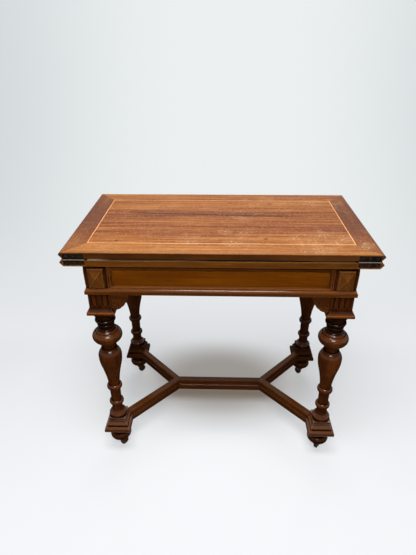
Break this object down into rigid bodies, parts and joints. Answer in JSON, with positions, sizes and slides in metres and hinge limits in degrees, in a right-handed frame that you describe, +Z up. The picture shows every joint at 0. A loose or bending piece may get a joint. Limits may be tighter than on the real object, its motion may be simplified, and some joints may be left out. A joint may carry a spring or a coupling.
{
  "type": "folding card table",
  "caption": "Folding card table: hinged double top that swivels and opens, panelled frieze, turned legs, bun feet on swivel casters and a double-Y stretcher.",
  "frame": {"origin": "on the floor, under the middle of the frame, midway between the four legs", "axes": "+X along the table's length, +Y to the back, away from the hinged front edge, +Z up"},
  "size_m": [0.854, 0.4846, 0.775],
  "materials": {
    "top_wood": "waxed, worn",
    "base_wood": "polished, dark",
    "frieze_wood": "polished",
    "inner_wood": "raw",
    "string_wood": "waxed",
    "baize": "napped cloth",
    "tape": "woven tape",
    "brass": "dulled",
    "steel": "dull",
    "caster_metal": "darkened",
    "caster_wheel": "darkened"
  },
  "bodies": {
    "frame": {"base_moulding_back": "base_wood", "base_moulding_front": "base_wood", "base_moulding_left": "base_wood", "base_moulding_right": "base_wood", "bun_foot_back_left": "base_wood", "bun_foot_back_right": "base_wood", "bun_foot_front_left": "base_wood", "bun_foot_front_right": "base_wood", "caster_sockets": "caster_metal", "diamond_bosses": "base_wood", "frieze_moulding_back": "base_wood", "frieze_moulding_front": "base_wood", "frieze_moulding_left": "base_wood", "frieze_moulding_right": "base_wood", "leg_back_left": "base_wood", "leg_back_right": "base_wood", "leg_front_left": "base_wood", "leg_front_right": "base_wood", "pivot_board": "inner_wood", "plinth_back_left": "base_wood", "plinth_back_right": "base_wood", "plinth_front_left": "base_wood", "plinth_front_right": "base_wood", "rail_back": "frieze_wood", "rail_front": "frieze_wood", "rail_left": "frieze_wood", "rail_right": "frieze_wood", "scroll_brackets": "base_wood", "stretcher_arm_back_left": "base_wood", "stretcher_arm_back_right": "base_wood", "stretcher_arm_front_left": "base_wood", "stretcher_arm_front_right": "base_wood", "stretcher_bar": "base_wood", "well_floor": "inner_wood", "well_partition": "inner_wood"},
    "lower_leaf": {"lower_leaf": "top_wood", "lower_baize": "baize", "lower_tape": "tape", "lower_hinge_plates": "brass", "lower_leaf_screws": "brass", "hinge_pins": "steel", "pivot_plate": "steel", "pivot_bolt": "steel", "pivot_washer": "steel", "pivot_nut": "steel", "stop_pin": "steel"},
    "upper_leaf": {"upper_leaf": "top_wood", "upper_baize": "baize", "upper_tape": "tape", "upper_hinge_plates": "brass", "upper_leaf_screws": "brass", "string_inlay": "string_wood"},
    "caster_fork_front_left": {"caster_fork_front_left": "caster_metal"},
    "caster_wheel_front_left": {"caster_wheel_front_left": "caster_wheel"},
    "caster_fork_front_right": {"caster_fork_front_right": "caster_metal"},
    "caster_wheel_front_right": {"caster_wheel_front_right": "caster_wheel"},
    "caster_fork_back_left": {"caster_fork_back_left": "caster_metal"},
    "caster_wheel_back_left": {"caster_wheel_back_left": "caster_wheel"},
    "caster_fork_back_right": {"caster_fork_back_right": "caster_metal"},
    "caster_wheel_back_right": {"caster_wheel_back_right": "caster_wheel"}
  },
  "joints": [
    {"name": "top_swivel", "type": "hinge", "parent": "frame", "child": "lower_leaf", "pos_m": [0.11875, -0.11875, 0.734], "axis": [0, 0, -1], "range_deg": [0, 90]},
    {"name": "leaf_fold", "type": "hinge", "parent": "lower_leaf", "child": "upper_leaf", "pos_m": [0, -0.238, 0.7545], "axis": [1, 0, 0], "range_deg": [0, 180]},
    {"name": "caster_swivel_front_left", "type": "hinge", "parent": "frame", "child": "caster_fork_front_left", "pos_m": [-0.3392, -0.1928, 0.049], "axis": [0, 0, 1], "continuous": true},
    {"name": "caster_roll_front_left", "type": "hinge", "parent": "caster_fork_front_left", "child": "caster_wheel_front_left", "pos_m": [-0.33354, -0.18714, 0.014], "axis": [-0.7071, 0.7071, 0], "continuous": true},
    {"name": "caster_swivel_front_right", "type": "hinge", "parent": "frame", "child": "caster_fork_front_right", "pos_m": [0.3392, -0.1928, 0.049], "axis": [0, 0, 1], "continuous": true},
    {"name": "caster_roll_front_right", "type": "hinge", "parent": "caster_fork_front_right", "child": "caster_wheel_front_right", "pos_m": [0.34296, -0.18574, 0.014], "axis": [-0.8829, 0.4695, 0], "continuous": true},
    {"name": "caster_swivel_back_left", "type": "hinge", "parent": "frame", "child": "caster_fork_back_left", "pos_m": [-0.3392, 0.1928, 0.049], "axis": [0, 0, 1], "continuous": true},
    {"name": "caster_roll_back_left", "type": "hinge", "parent": "caster_fork_back_left", "child": "caster_wheel_back_left", "pos_m": [-0.33307, 0.19794, 0.014], "axis": [-0.6428, 0.766, 0], "continuous": true},
    {"name": "caster_swivel_back_right", "type": "hinge", "parent": "frame", "child": "caster_fork_back_right", "pos_m": [0.3392, 0.1928, 0.049], "axis": [0, 0, 1], "continuous": true},
    {"name": "caster_roll_back_right", "type": "hinge", "parent": "caster_fork_back_right", "child": "caster_wheel_back_right", "pos_m": [0.33461, 0.19935, 0.014], "axis": [-0.8192, -0.5736, 0], "continuous": true}
  ]
}
